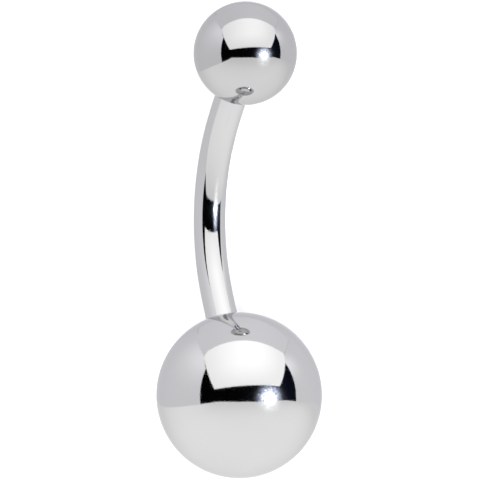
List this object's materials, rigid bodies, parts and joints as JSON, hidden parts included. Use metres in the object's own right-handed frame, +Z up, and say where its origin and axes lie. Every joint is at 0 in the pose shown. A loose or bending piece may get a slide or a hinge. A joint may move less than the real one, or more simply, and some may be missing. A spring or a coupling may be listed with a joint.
{
  "type": "navel ring",
  "caption": "Curved barbell: a bent round bar with a small screw-on ball at its upper end and a larger one at its lower end, all in mirror-polished steel.",
  "frame": {"origin": "on the table under the middle of the ring's bounding box, with the ring lying as it rests by itself", "axes": "+X from the large ball to the small ball, +Y towards the side that the bar bulges to, +Z up"},
  "size_m": [0.023, 0.008, 0.008],
  "materials": {
    "bar_steel": "stainless steel, mirror polished, with fine polishing marks along the bar",
    "ball_steel": "stainless steel, mirror polished"
  },
  "bodies": {
    "bar": {"bar": "bar_steel"},
    "small_ball": {"small_ball": "ball_steel"},
    "large_ball": {"large_ball": "ball_steel"}
  },
  "joints": [
    {"name": "small_ball_off", "type": "slide", "parent": "bar", "child": "small_ball", "axis": [0.8375, -0.4564, 0.3005], "range_m": [0, 0.004]},
    {"name": "large_ball_off", "type": "slide", "parent": "bar", "child": "large_ball", "axis": [-0.8357, -0.3834, 0.3932], "range_m": [0, 0.005]}
  ]
}
